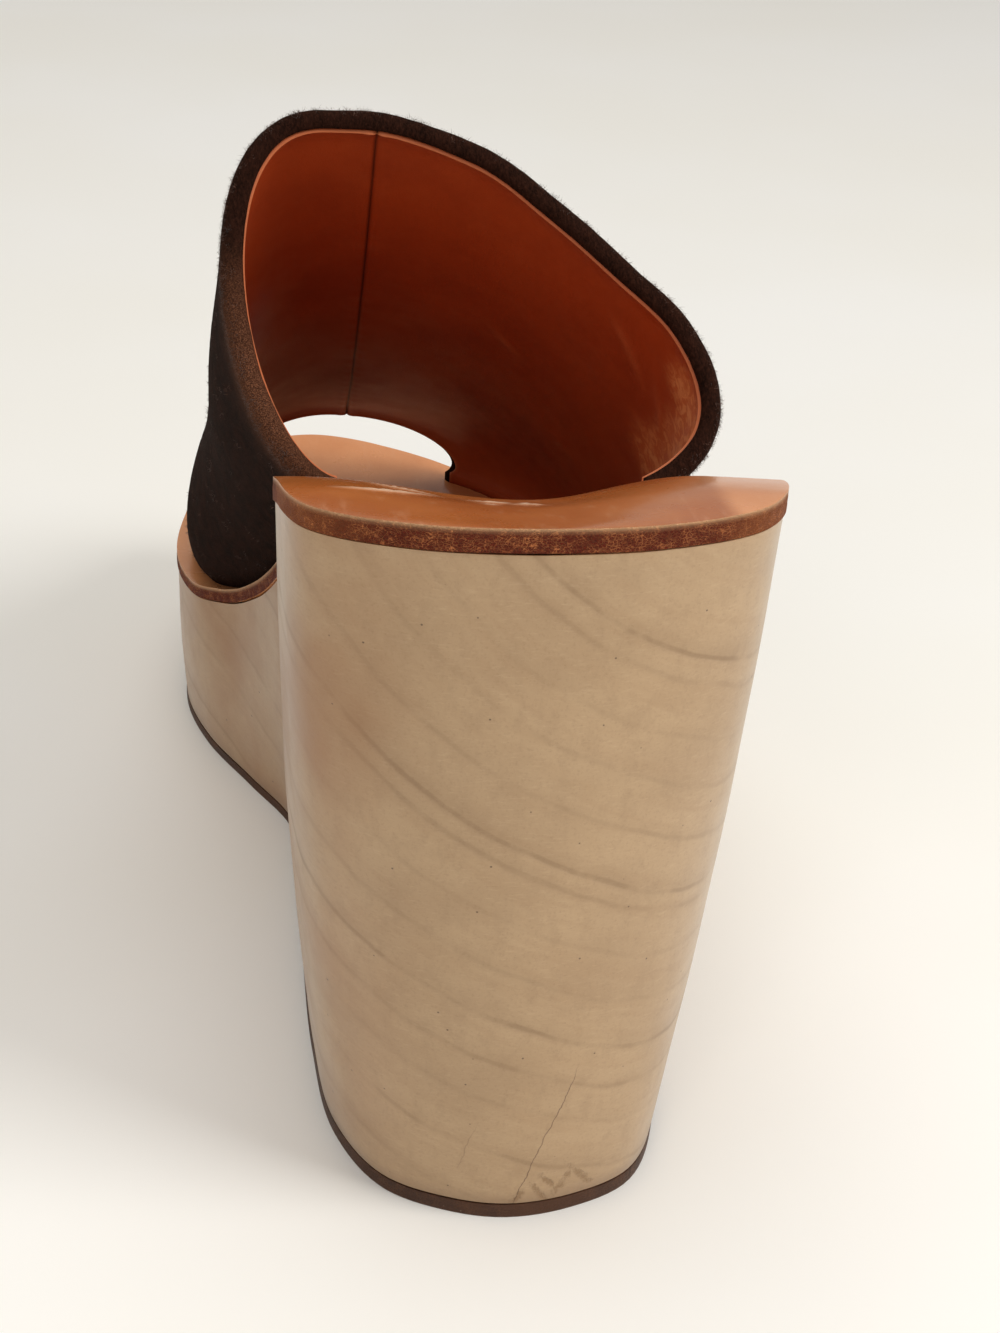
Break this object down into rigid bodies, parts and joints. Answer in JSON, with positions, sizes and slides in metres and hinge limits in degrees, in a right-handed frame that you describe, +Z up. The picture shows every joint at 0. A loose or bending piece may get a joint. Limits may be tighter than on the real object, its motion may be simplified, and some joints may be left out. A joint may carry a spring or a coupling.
{
  "type": "wedge mule",
  "caption": "High wedge mule for the right foot: flat-bottomed wooden wedge with a dark outsole, leather insole layer and a wide open-toe suede upper with a folded collar.",
  "frame": {"origin": "on the ground, under the middle of the shoe's bounding box", "axes": "+Y towards the toe, +X towards the outer (little toe) side, +Z up"},
  "size_m": [0.088, 0.225, 0.1413],
  "materials": {
    "outsole": "matt dark brown sole sheet",
    "wedge": "pale wood under a satin lacquer",
    "insole": "smooth tan leather with a raw stained edge",
    "upper": "very dark brown suede over a smooth russet leather lining"
  },
  "bodies": {
    "root": {"outsole": "outsole", "wedge": "wedge", "insole": "insole", "upper": "upper"}
  },
  "joints": []
}
